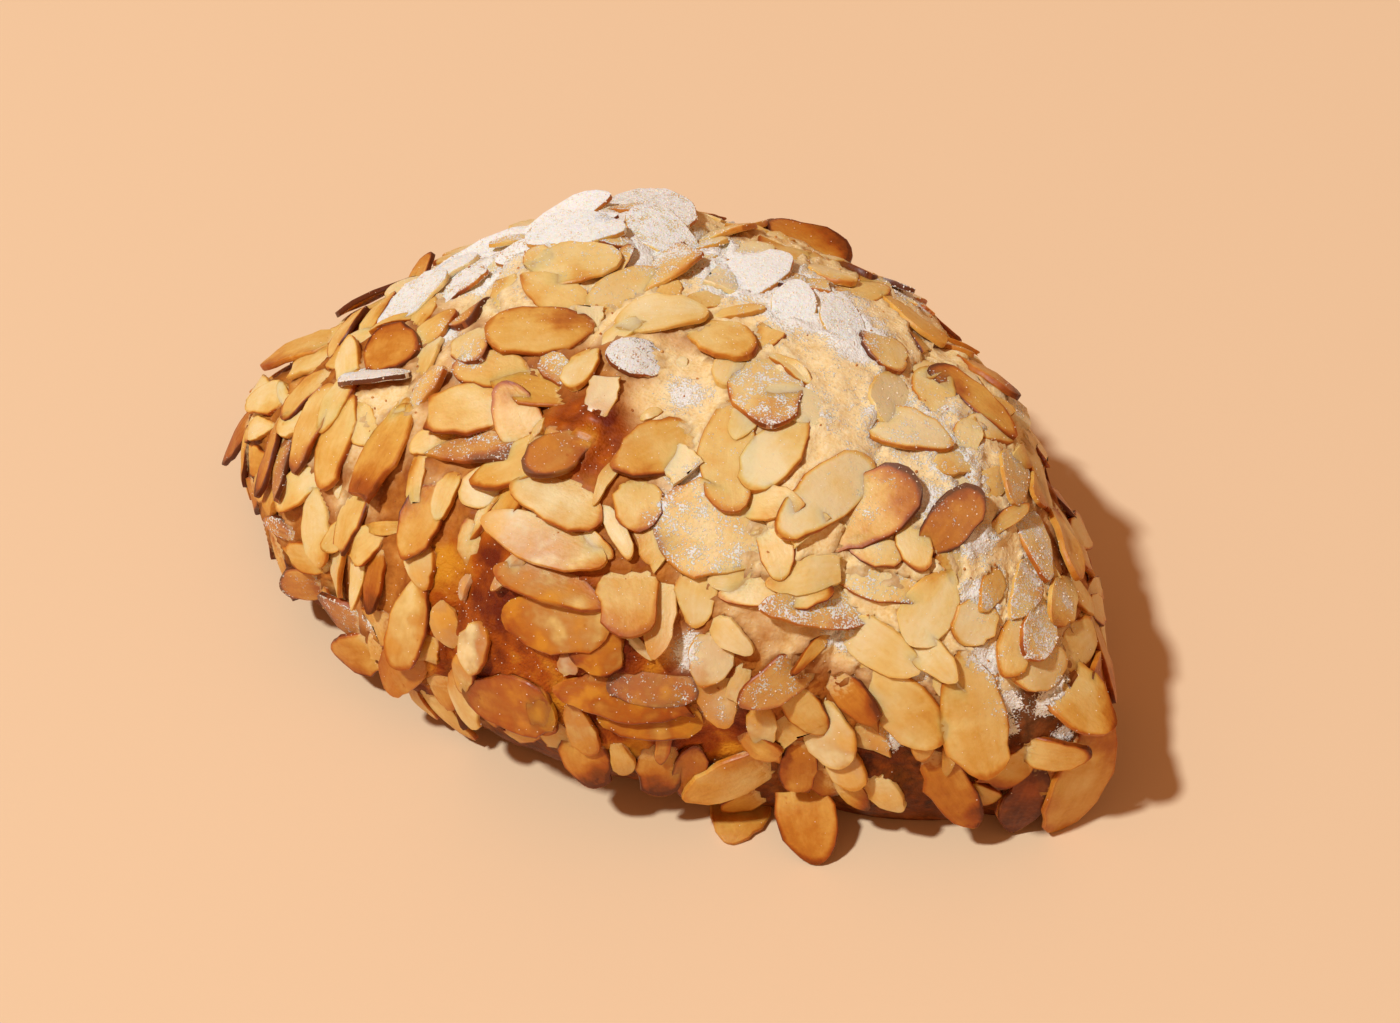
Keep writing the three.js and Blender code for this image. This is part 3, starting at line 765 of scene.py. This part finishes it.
def crust(t, angle):
    """Points of the crust, t along the roll (-1 to 1), angle round it (0 front, a quarter turn top)."""
    t, angle = np.broadcast_arrays(np.asarray(t, float), np.asarray(angle, float))
    across = np.cos(angle)
    upward = np.sin(angle)
    x = HALF_LENGTH * t
    width = np.where(across > 0, FRONT_WIDTH * taper(t, FRONT_TAPER), BACK_WIDTH * taper(t, BACK_TAPER))
    height = CROWN_HEIGHT * taper(t, CROWN_TAPER)
    relief = (1 - np.abs(t) ** TIP_FADE_POWER) * (roll_lip(x, angle) + dents(x, angle))
    waist = WAIST_SHARE * height + TIP_RISE * t**TIP_RISE_POWER
    reach = np.where(upward > 0, 1 - WAIST_SHARE, UNDERSIDE_SHARE) * height
    spine = -SPINE_SKEW * t - SPINE_BEND * t**2
    y = spine - (width + relief) * signed_power(across, SIDE_ROUNDNESS)
    z = waist + (reach + relief) * signed_power(upward, CROWN_ROUNDNESS)
    return np.stack([x + CENTRE[0], y + CENTRE[1], np.maximum(z, 0)], -1)


def crust_frame(t, angle):
    """Directions on the crust: along the roll, round it, and out of it."""
    near = min(max(t, DIFFERENCE - 1), 1 - DIFFERENCE)
    along = unit(crust(near + DIFFERENCE, angle) - crust(near - DIFFERENCE, angle))
    round_roll = crust(near, angle + DIFFERENCE) - crust(near, angle - DIFFERENCE)
    outward = unit(np.cross(along, round_roll))
    return along, np.cross(outward, along), outward


def patches(points, rows):
    """1 in the middle of the patches, fading to 0 outside them."""
    clear = np.ones(len(points))
    for t, angle, radius, strength in rows:
        distance = np.linalg.norm(points - crust(t, angle * DEGREE), axis=1)
        clear *= 1 - strength * np.exp(-((distance / radius) ** 2))
    return 1 - clear


def placed_slices(rows, draw):
    slices = []
    for t, angle, heading, length, width, tilt, toast, dusted in rows:
        point = drawn_point(draw) if length > width else 0
        layer = 1 if tilt < STEEP_TILT else 0
        slices.append(Slice(t, angle, heading, length, width, tilt, point, 1, layer, toast, dusted))
    return slices


def drawn_point(draw):
    """Which end of a slice is the fuller one."""
    return -SLICE_POINT if draw() < EVEN_CHANCE else SLICE_POINT


def drawn_slice(t, angle, shortest, longest, draw):
    length = mix((shortest, longest), draw())
    sliver = draw() < SLIVER_CHANCE
    width = length * (SLIVER_WIDTH_SHARE if sliver else mix(SLICE_WIDTH_SHARES, draw()))
    snap = mix(SNAP_SHARES, draw()) if draw() < SNAPPED_CHANCE else 1
    along, round_roll, outward = crust_frame(t, angle * DEGREE)
    downhill = math.atan2(-round_roll[2], -along[2]) / DEGREE
    spread = mix((FLAT_SPREAD, STEEP_SPREAD), math.hypot(outward[0], outward[1]))
    heading = downhill + spread * (2 * draw() - 1)
    tilt = mix(SCATTER_TILTS, draw())
    point = drawn_point(draw)
    layer = 1 if draw() >= EVEN_CHANCE else 0
    return Slice(t, angle, heading, length, width, tilt, point, snap, layer, toast=None, dusted=0)


def scatter_slices(slices, tiers, clear, draw):
    """Slices at random seats, away from every earlier seat and from the seats that stay bare."""
    taken = [(row.t, row.angle) for row in slices] + list(clear)
    seats = [crust(t, angle * DEGREE) for t, angle in taken]
    scattered = []
    for spacing, shortest, longest in tiers:
        for _ in range(SCATTER_TRIES):
            t = SCATTER_REACH * (2 * draw() - 1)
            angle = mix(SCATTER_ANGLES, draw())
            seat = crust(t, angle * DEGREE)
            far = np.linalg.norm(np.array(seats) - seat, axis=1).min() > spacing
            if seat[2] > SCATTER_FLOOR and far:
                seats.append(seat)
                scattered.append(drawn_slice(t, angle, shortest, longest, draw))
    return scattered


def slice_seat(row):
    """Centre of a slice, its directions along, across and out of its face, its length and its width."""
    angle = row.angle * DEGREE
    heading = row.heading * DEGREE
    tilt = row.tilt * DEGREE
    along, round_roll, outward = crust_frame(row.t, angle)
    flat = along * math.cos(heading) + round_roll * math.sin(heading)
    side = np.cross(outward, flat)
    ahead = flat * math.cos(tilt) + outward * math.sin(tilt)
    up = np.cross(ahead, side)
    lift = SLICE_LIFT_SHARE * row.length / 2 * math.sin(tilt) + row.layer * LAYER_STEP
    centre = crust(row.t, angle) + outward * (lift + SLICE_SEAT - SLICE_SINK)
    reach = np.hypot(ahead[2] * row.length / 2, side[2] * row.width / 2) + abs(up[2]) * SLICE_SEAT
    centre[2] += max(FLOOR_GAP + reach - centre[2], 0)
    if row.length < row.width:
        return centre, side, -ahead, up, row.width, row.length
    turned = -1 if row.point < 0 and row.snap == 1 else 1
    return centre, ahead * turned, side * turned, up, row.length, row.width


def add_object(name, data):
    added = bpy.data.objects.new(name, data)
    bpy.context.scene.collection.objects.link(added)
    return added


def make_piece(name, points, faces, fields=None):
    """A mesh object from points in millimetres, with one value a point for each field."""
    mesh = bpy.data.meshes.new(name)
    mesh.from_pydata((np.asarray(points) * MM).tolist(), [], faces)
    piece = add_object(name, mesh)
    add_fields(piece, fields or {})
    return piece


def add_fields(piece, fields):
    for name, values in fields.items():
        values = np.asarray(values)
        kind = "FLOAT_VECTOR" if values.ndim == 2 else "INT" if values.dtype.kind == "i" else "FLOAT"
        part = "vector" if values.ndim == 2 else "value"
        field = piece.data.attributes.new(name, kind, "POINT")
        field.data.foreach_set(part, values.astype(np.int32 if kind == "INT" else np.float32).ravel())


def points_of(piece):
    """The piece's points in millimetres."""
    values = np.empty(3 * len(piece.data.vertices))
    piece.data.vertices.foreach_get("co", values)
    return values.reshape(-1, 3) / MM


def make_camera():
    azimuth = VIEW_AZIMUTH * DEGREE
    elevation = VIEW_ELEVATION * DEGREE
    level = math.cos(elevation)
    back = Vector((math.sin(azimuth) * level, -math.cos(azimuth) * level, math.sin(elevation)))
    right = Vector((math.cos(azimuth), math.sin(azimuth), 0))
    up = back.cross(right)
    eye = Vector(VIEW_TARGET) + back * VIEW_DISTANCE
    aim = Vector(VIEW_TARGET) + right * AIM_RIGHT + up * AIM_UP
    data = bpy.data.cameras.new("camera")
    data.sensor_width = SENSOR_WIDTH
    data.lens = SENSOR_WIDTH * FOCAL_PIXELS / PHOTO_WIDTH
    camera = add_object("camera", data)
    camera.location = eye * MM
    camera.rotation_euler = (aim - eye).to_track_quat("-Z", "Y").to_euler()
    bpy.context.scene.camera = camera


def make_light():
    turn = (VIEW_AZIMUTH + KEY_SHADOW_TURN) * DEGREE
    level = math.cos(KEY_ELEVATION * DEGREE)
    toward = Vector((-math.cos(turn) * level, -math.sin(turn) * level, math.sin(KEY_ELEVATION * DEGREE)))
    data = bpy.data.lights.new("key", "AREA")
    data.shape = "DISK"
    data.size = KEY_SIZE
    data.energy = KEY_POWER
    data.color = KEY_COLOUR
    key = add_object("key", data)
    key.location = Vector(VIEW_TARGET) * MM + toward * KEY_DISTANCE
    key.rotation_euler = toward.to_track_quat("Z", "Y").to_euler()
    world = bpy.data.worlds.new("studio")
    world.use_nodes = True
    background = world.node_tree.nodes["Background"]
    background.inputs["Color"].default_value = (*FILL_COLOUR, 1)
    background.inputs["Strength"].default_value = FILL_STRENGTH
    bpy.context.scene.world = world
    bpy.context.scene.view_settings.view_transform = "Standard"


def floor_finish():
    finish = Finish("peach_table")
    cloud = finish.noise(FLOOR_CLOUD, finish.place, 3.0)
    shade = finish.mix(cloud, [FLOOR_SHADE * part for part in FLOOR_COLOUR], FLOOR_COLOUR)
    return finish.finish({"Base Color": shade, "Roughness": 0.7, "Specular IOR Level": 0.2})


def make_floor():
    half = FLOOR_SIZE / 2 / MM
    corners = [(-half, -half, 0), (half, -half, 0), (half, half, 0), (-half, half, 0)]
    floor = make_piece("table", corners, [(0, 1, 2, 3)])
    floor.data.materials.append(floor_finish())


def sugared(finish, colour, amount, mottle, melted):
    """A colour with powdered sugar on it, part of it melted in, and where clumps of sugar cover it."""
    dust = finish.noise(SUGAR_DUST, finish.place)
    clumps = finish.noise(SUGAR_CLUMPS, finish.place)
    shown = amount * finish.facing_up().step(*SUGAR_FACING)
    grain = dust * DUST_SHARE + clumps * (1 - DUST_SHARE)
    cover = (shown * GAINS["sugar"] + SUGAR_START - grain).step(*SUGAR_EDGE)
    colour = finish.mix(shown.step(*MELTED_EDGE) * melted, colour, MELTED_COLOUR)
    powder = finish.mix(mottle.step(*POWDER_EDGE), SUGAR_SHADE, SUGAR_COLOUR)
    return finish.mix(cover, colour, powder), cover


def crust_finish():
    finish = Finish("baked_crust")
    place = finish.place
    height = finish.upward(place) / MM
    broad = finish.noise(BROAD_LUMPS, place, 4.0)
    fine = finish.noise(FINE_LUMPS, place, 4.0)
    sand = finish.noise(SAND_LUMPS, place)
    uneven = broad.swing()
    glaze = finish.field("glaze")
    beside = finish.field("beside")
    strewn = finish.field("sugar")
    cream = ((finish.field("cream") + uneven) * GAINS["cream"] - CREAM_START).step(*CREAM_EDGE)
    # Darker low on the crust and in patches: partly baked crust, partly painted shade
    low = 1 - (height + uneven * LOW_UNEVENNESS).step(*LOW_CRUST)
    dark = (finish.field("dark") * GAINS["dark"] + uneven).step(*DARK_EDGE)
    syrup = (glaze * GAINS["glaze"] + uneven).step(*GLAZE_EDGE)
    dark_base_and_shade = finish.math("MAXIMUM", low, dark)
    # The crust is a little darker next to the slices: painted shade
    colour = finish.ramp(BAKED_TONES, broad * 0.6 + fine * 0.4 - beside * 0.1)
    colour = finish.mix(cream, colour, finish.ramp(CREAM_TONES, fine * 0.6 + sand * 0.4))
    colour = finish.mix(syrup, colour, finish.ramp(SYRUP_TONES, broad))
    colour = finish.mix(dark_base_and_shade * COVERS["dark"], colour, finish.ramp(DARK_AND_SHADE_TONES, fine))
    # Painted shade on the crust under the slices
    colour = finish.mix(finish.field("covered") * COVERS["under"], colour, UNDER_SLICE_SHADE_COLOUR)
    amount = strewn + beside * strewn.step(*SUGAR_BESIDE) * SUGAR_BESIDE_SHARE
    colour, sugar = sugared(finish, colour, amount, sand, (1 - dark_base_and_shade) * MELTED_SHARES["crust"])
    relief = finish.bump(fine + sand * (0.5 + glaze), CRUST_RELIEF)
    relief = finish.bump(finish.noise(SUGAR_LUMPS, place) * sugar, SUGAR_RELIEF["crust"], relief)
    return finish.finish({
        "Base Color": colour,
        "Specular IOR Level": 0.12,
        "Roughness": 0.6 - glaze * 0.1 + sugar * 0.3 + fine.swing() * 0.3,
        "Coat Weight": glaze * 0.15 * (1 - sugar),
        "Coat Roughness": 0.3,
        "Subsurface Weight": 0.1,
        "Subsurface Radius": (1.0, 0.45, 0.2),
        "Subsurface Scale": 0.0015,
        "Normal": relief,
    })


def bare_crust():
    """The baked body: rings of points from tip to tip, closed by a fan at each tip."""
    step = np.linspace(0, 1, CRUST_RINGS + 1)[1:-1]
    t = mix((2 * step - 1, -np.cos(math.pi * step)), CRUST_END_SHARE)
    turn = np.linspace(-math.pi, math.pi, CRUST_RING_POINTS, endpoint=False)
    angle = math.pi / 2 + turn - CRUST_TOP_SHARE * np.sin(turn)
    rings = crust(t[:, None], angle[None, :]).reshape(-1, 3)
    points = np.concatenate([crust(-1, 0)[None], rings, crust(1, 0)[None]])
    faces = []
    last = len(points) - 1
    for k in range(CRUST_RING_POINTS):
        after = (k + 1) % CRUST_RING_POINTS
        faces.append((0, 1 + k, 1 + after))
        faces.append((last, last - CRUST_RING_POINTS + after, last - CRUST_RING_POINTS + k))
        for ring in range(len(t) - 1):
            near = 1 + ring * CRUST_RING_POINTS
            far = near + CRUST_RING_POINTS
            faces.append((near + k, far + k, far + after, near + after))
    return make_piece("crust", points, faces, {
        "cream": patches(points, CREAM_PATCHES),
        "glaze": patches(points, GLAZE_PATCHES),
        "sugar": patches(points, SUGAR_PATCHES),
        "dark": patches(points, DARK_AND_SHADE_PATCHES),
        "free": np.clip(points[:, 2] / UNDERSIDE_FADE, 0, 1),
    })


def crust_relief(slices):
    """Lumps and cream raised on the crust, up against the slices, and over them in places."""
    shape = Shape("crust_relief", {
        "Almond slices": slices, "Lump height": 1.3, "Crumb height": 0.35, "Cream height": 0.6,
        "Fill height": 0.9, "Bury height": 3.6, "Fillet height": 0.6, "Fillet reach": 1.8,
        "Slice gap": 0.15, "Overhang": 4.0,
    })
    place = shape.place
    laid = shape.surface("Almond slices")
    ray = {
        "Target Geometry": laid, "Source Position": place, "Ray Direction": shape.normal,
        "Ray Length": shape.given("Overhang") * MM,
    }
    hit = shape.node("GeometryNodeRaycast", {}, ray, output="Is Hit") * 1
    gap = shape.node("GeometryNodeRaycast", {}, ray, output="Hit Distance") / MM
    beside = shape.distance_to(laid)
    cream = shape.field("cream")
    patchy = shape.noise(FILL_PATCHES, place)
    height = shape.noise(RELIEF_LUMPS, place).swing() * shape.given("Lump height")
    height = height + cream * shape.given("Cream height")
    height = height + shape.noise(RELIEF_CRUMBS, place, 1.0).swing() * shape.given("Crumb height")
    bury = cream * (shape.noise(BURY_PATCHES, place) - BURY_START) * shape.given("Bury height")
    bury = shape.math("MAXIMUM", bury, 0.0)
    filled = height + shape.given("Fill height") * patchy + bury
    under = shape.math("MINIMUM", filled, gap - shape.given("Slice gap") + bury)
    close = 1 - beside.step(0.0, shape.given("Fillet reach"))
    fillet = shape.given("Fillet height") * (patchy + FILLET_START) + bury * BURY_BESIDE
    around = height + close * fillet
    height = (hit * under + (1 - hit) * around) * shape.field("free")
    # Painted shade on the crust under the slices: less near their edges, and gone where cream buries them
    # deep
    covered = hit * (1 - close * 0.5) * (1 - bury.step(*BURIED))
    stored = shape.store(shape.given(), "covered", covered)
    stored = shape.store(stored, "beside", close)
    moved = shape.push(stored, shape.normal, height)
    smooth = shape.node("GeometryNodeSetShadeSmooth", {}, {"Geometry": moved})
    shape.end(smooth, crust_finish())
    return shape


def unit_slice(name, snap, point, draw):
    """A slice of half length, half width and half thickness 1. It ends at snap along its half length."""
    points = []
    along = []
    across = []
    bend = SLICE_BEND * (draw() - 0.5)
    twist = SLICE_TWIST * (draw() - 0.5)
    cup = SLICE_CUP * (draw() - 0.5)
    tip_power = mix(SLICE_TIP_POWERS, draw())
    slant = SLICE_SLANT * (draw() - 0.5)
    jag = [slant * y + SLICE_JAG * (draw() - 0.5) for y, _ in SLICE_SECTION]
    fullest = 1 + SLICE_FULLNESS * SLICE_LOOKS_POINT
    for rib in range(SLICE_RIBS):
        swing = (1 - math.cos(math.pi * rib / (SLICE_RIBS - 1))) / 2
        s = -1 + (1 + snap) * swing
        half_width = max((1 - s * s) ** tip_power * (1 + point * s) / fullest, SLICE_TIP_WIDTH)
        edges = [half_width * mix(SLICE_EDGE_SHARES, draw()) for _ in range(2)]
        for corner, (y, z) in enumerate(SLICE_SECTION):
            broken = jag[corner] if snap < 1 and rib == SLICE_RIBS - 1 else 0
            side = y * (edges[0] if y < 0 else edges[1])
            sag = -SLICE_DRAPE / (SLICE_THICKNESS / 2) * s * s + twist * s * side + cup * side * side
            points.append((s + broken, side + bend * (s * s - 0.5), z + sag))
            along.append(s)
            across.append(y)
    count = len(SLICE_SECTION)
    faces = [tuple(range(count))]
    for rib in range(SLICE_RIBS - 1):
        for corner in range(count):
            near = count * rib + corner
            after = count * rib + (corner + 1) % count
            faces.append((near, near + count, after + count, after))
    faces.append(tuple(range(count * SLICE_RIBS - 1, count * (SLICE_RIBS - 1) - 1, -1)))
    return make_piece(name, np.array(points) / MM, faces, {"along": along, "across": across})


def slice_shapes():
    """A collection of unit slices: whole ones, then broken ones that keep one end or the other."""
    draw = make_draw(LOOKS_SEED)
    shapes = bpy.data.collections.new("slice_shapes")
    kinds = list(WHOLE_SHAPES)
    for point in (-SLICE_LOOKS_POINT, SLICE_LOOKS_POINT):
        kinds += [(snap, point) for snap in SNAPS]
    for number, (snap, point) in enumerate(kinds):
        shape = unit_slice(f"slice_shape_{number:02d}", snap, point, draw)
        bpy.context.scene.collection.objects.unlink(shape)
        shapes.objects.link(shape)
    return shapes


def shape_of(row, draw):
    """Number of the unit slice that fits a slice."""
    whole = int(draw() * len(WHOLE_SHAPES))
    if row.snap == 1:
        return whole
    nearest = int(np.argmin([abs(row.snap - snap) for snap in SNAPS]))
    return len(WHOLE_SHAPES) + nearest + (len(SNAPS) if row.point > 0 else 0)


def toast_at(row, draw):
    """Toasting of a slice. Scattered ones are palest on the crown, darkest at the base and the tips."""
    crown = max(math.sin(row.angle * DEGREE), 0)
    drawn = SCATTER_TOAST - CROWN_PALENESS * crown + TIP_TOAST * abs(row.t) ** TIP_TOAST_POWER
    drawn += TOAST_SPREAD * (draw() - 0.5)
    return drawn if row.toast is None else row.toast


def slice_points(name, slices, draw):
    """One point for each slice, with the fields that place, size and colour it."""
    points = []
    rows = []
    for row in slices:
        centre, long, short, up, length, width = slice_seat(row)
        points.append(centre)
        thickness = SLICE_THICKNESS * mix(SLICE_THICKNESS_SHARES, draw())
        rows.append({
            "turn": Matrix((long, short, up)).transposed().to_euler(),
            "size": (length / 2 * MM, width / 2 * MM, thickness / 2 * MM),
            "shape": shape_of(row, draw),
            "toast": toast_at(row, draw),
            "dusted": row.dusted,
            "edge": draw(),
            "tip": 2 * draw() - 1,
            "side": 2 * draw() - 1,
            "own": draw(),
        })
    return make_piece(name, points, [], {label: [row[label] for row in rows] for label in rows[0]})


def slice_finish():
    finish = Finish("toasted_almond")
    place = finish.place
    own = finish.field("own") * OWN_SPREAD
    along = finish.field("along")
    across = finish.field("across")
    edge = finish.field("edge")
    toast = finish.field("toast")
    rise = finish.field("rise")
    glaze = finish.field("glaze")
    cloud = finish.noise(ALMOND_CLOUD, place, 3.0, own)
    fibre = finish.noise(ALMOND_FIBRE, place, 3.0, own)
    lengthwise = finish.node("ShaderNodeCombineXYZ", {}, {0: along * STREAKS[0], 1: across * STREAKS[1]})
    streak = finish.noise(1 / MM, lengthwise, 2.0, own)
    rim = along * along + across * across * (1 - along * along)
    border = (rim + cloud.swing() * 0.3).step(*BORDER_EDGE)
    lean = along * finish.field("tip") + across * finish.field("side") * 0.8
    blush = (lean + cloud.swing() * 0.9).step(*BLUSH_EDGE)
    cut = abs(across).step(*CUT_EDGE)
    marks = {
        "toast": toast,
        "cloud": cloud.swing(),
        "streak": streak.swing(),
        "fibre": fibre.swing(),
        "border": border * edge,
        "blush": blush * (toast * 0.5 + 0.35),
        "raised": rise.step(*RAISED_EDGE),
        "cut": cut * edge,
        "speck": finish.noise(ALMOND_SPECKS, place, 2.0, own).step(*SPECK_EDGE),
    }
    shade = sum((marks[name] * weight for name, weight in TOAST_WEIGHTS.items()), TOAST_START)
    colour = finish.ramp(ALMOND_TONES, shade)
    syrup = glaze * cloud.step(*SYRUP_EDGE)
    colour = finish.mix(syrup * COVERS["syrup"], colour, finish.ramp(SYRUP_TONES, cloud))
    frost = 1 - (rise + (fibre.swing() + cloud.swing()) * FROST_UNEVENNESS).step(*FROST_EDGE)
    colour = finish.mix(frost * (1 - glaze) * COVERS["frost"], colour, finish.ramp(CREAM_TONES, fibre))
    dusting = finish.math("MAXIMUM", finish.field("sugar") * 0.9, finish.field("dusted"))
    colour, sugar = sugared(finish, colour, dusting * (1 - cut * 0.8), fibre, MELTED_SHARES["slices"])
    relief = finish.bump(fibre * (0.4 + frost) + cloud * 1.2 + streak * 0.25, ALMOND_RELIEF)
    relief = finish.bump(finish.noise(SUGAR_LUMPS, place) * sugar, SUGAR_RELIEF["slices"], relief)
    return finish.finish({
        "Base Color": colour,
        "Roughness": 0.45 + frost * 0.15 + sugar * 0.35 + fibre.swing() * 0.2,
        "Specular IOR Level": 0.3,
        "Coat Weight": glaze * 0.4 * (1 - sugar),
        "Coat Roughness": 0.25,
        "Subsurface Weight": 0.35,
        "Subsurface Radius": (1.0, 0.6, 0.3),
        "Subsurface Scale": 0.002,
        "Normal": relief,
    })


def slice_laying(shapes, body, material):
    """Lays a unit slice on each point and warps it."""
    shape = Shape("slice_laying", {
        "Slice shapes": shapes, "Crust": body, "Wave size": 7.0, "Wave height": 1.5,
        "Sharp angle": SHARP_ANGLE * DEGREE,
    })
    kinds = shape.node("GeometryNodeCollectionInfo", {}, {
        "Collection": shape.given("Slice shapes"), "Separate Children": True, "Reset Children": True,
    })
    turn = shape.node("FunctionNodeEulerToRotation", {}, {0: shape.field("turn", "FLOAT_VECTOR")})
    laid = shape.node("GeometryNodeInstanceOnPoints", {}, {
        "Points": shape.given(), "Instance": kinds, "Pick Instance": True,
        "Instance Index": shape.field("shape", "INT"), "Rotation": turn,
        "Scale": shape.field("size", "FLOAT_VECTOR"),
    })
    solid = shape.node("GeometryNodeRealizeInstances", {}, {"Geometry": laid})
    wave_scale = 1 / (shape.given("Wave size") * MM)
    wave_place = shape.vector_math("SCALE", {0: shape.place, "Scale": wave_scale})
    waves = {"Vector": wave_place, "Scale": 1.0, "Detail": 1.0}
    wave = shape.node("ShaderNodeTexNoise", {}, waves, output="Color")
    swing = shape.vector_math("SUBTRACT", {0: wave, 1: (NOISE_MIDDLE,) * 3})
    warped = shape.push(solid, swing, shape.given("Wave height"))
    stored = shape.store(warped, "rise", shape.distance_to(shape.surface("Crust")))
    smooth = shape.node("GeometryNodeSetShadeSmooth", {}, {"Geometry": stored})
    bent = shape.node("GeometryNodeInputMeshEdgeAngle")
    sharp = shape.math("GREATER_THAN", bent, shape.given("Sharp angle"))
    sockets = {"Geometry": smooth, "Selection": sharp, "Shade Smooth": False}
    shape.end(shape.node("GeometryNodeSetShadeSmooth", {"domain": "EDGE"}, sockets), material)
    return shape


def lay_slices(name, slices, shapes, body, material, draw):
    piece = slice_laying(shapes, body, material).run(slice_points(name, slices, draw))
    points = points_of(piece)
    points[:, 2] = np.maximum(points[:, 2], FLOOR_GAP / 2)
    piece.data.vertices.foreach_set("co", (points * MM).ravel())
    add_fields(piece, {"sugar": patches(points, SUGAR_PATCHES), "glaze": patches(points, GLAZE_PATCHES)})
    return piece


def grain_finish(name, stops, roughness):
    finish = Finish(name)
    colour = finish.ramp(stops, finish.noise(GRAIN_LUMPS, finish.place))
    return finish.finish({"Base Color": colour, "Roughness": roughness, "Specular IOR Level": 0.5})


def strewing(name, surfaces, weights, values, material):
    """Small lumps strewn over the upper faces of surfaces, denser where the weighted fields are high."""
    shape = Shape(name, {**surfaces, **values})
    sockets = [shape.surface(label) for label in surfaces]
    ground = shape.node("GeometryNodeJoinGeometry")
    for socket in reversed(sockets):
        shape.join(ground.output.node.inputs[0], socket)
    upward = shape.upward(shape.normal).step(*STREWN_FACING)
    thickness = 1 + sum((shape.field(field) * weight for field, weight in weights.items()))
    points = shape.node("GeometryNodeDistributePointsOnFaces", {}, {
        "Mesh": ground, "Density": shape.given("Number a square metre") * upward * thickness,
        "Seed": shape.given("Seed"),
    })
    lump = shape.node("GeometryNodeMeshIcoSphere", {}, {"Radius": MM, "Subdivisions": 1})
    turn = shape.node("FunctionNodeRandomValue", {"data_type": "FLOAT_VECTOR"}, {1: (math.tau,) * 3})
    least = shape.given("Least radius")
    most = shape.given("Most radius")
    heaped = shape.math("MAXIMUM", shape.field("sugar"), shape.field("dusted")).step(*STREWN_HEAPED)
    share = heaped + (1 - heaped) * shape.given("Bare share")
    sides = [shape.random(least, most, shape.given("Seed") + side) * share for side in range(3)]
    size = shape.node("ShaderNodeCombineXYZ", {}, dict(enumerate(sides)))
    strewn = shape.node("GeometryNodeInstanceOnPoints", {}, {
        "Points": points, "Instance": lump, "Rotation": turn, "Scale": size,
    })
    shape.end(shape.node("GeometryNodeRealizeInstances", {}, {"Geometry": strewn}), material)
    return shape


def make_croissant():
    body = bare_crust()
    draw = make_draw(SEED)
    large = placed_slices(LARGE_SLICES, draw)
    large += scatter_slices(large, SCATTER_TIERS, CLEAR_SEATS, draw)
    small = placed_slices(SMALL_SLICES, draw)
    clear = CLEAR_SEATS + SMALL_CLEAR_SEATS
    small += scatter_slices(large + small, SMALL_TIERS, clear, draw)
    chips = scatter_slices(large + small, [CHIP_TIER], clear, draw)
    shapes = slice_shapes()
    material = slice_finish()
    looks = make_draw(LOOKS_SEED)
    rows = {"almond_slices": large + small, "almond_chips": chips}
    laid = [lay_slices(name, slices, shapes, body, material, looks) for name, slices in rows.items()]
    for shape in list(shapes.objects):
        bpy.data.objects.remove(shape)
    crust_relief(laid[0]).run(body)
    surfaces = {"Crust": body, "Almond slices": laid[0]}
    white = grain_finish("sugar", SUGAR_TONES, roughness=0.4)
    sugar = strewing("sugar_grains", surfaces, SUGAR_WEIGHTS, SUGAR_GRAINS, white)
    brown = grain_finish("crumb", BAKED_TONES, roughness=0.7)
    crumbs = strewing("crumbs", {"Crust": body}, CRUMB_WEIGHTS, CRUMBS, brown)
    strewn = [shape.run(make_piece(shape.tree.name, [], [])) for shape in (sugar, crumbs)]
    return [body, *laid, *strewn]


def add_to_object(piece):
    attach(piece, "root")
    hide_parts(NODE)


make_camera()
make_light()
make_floor()
for made in make_croissant():
    add_to_object(made)
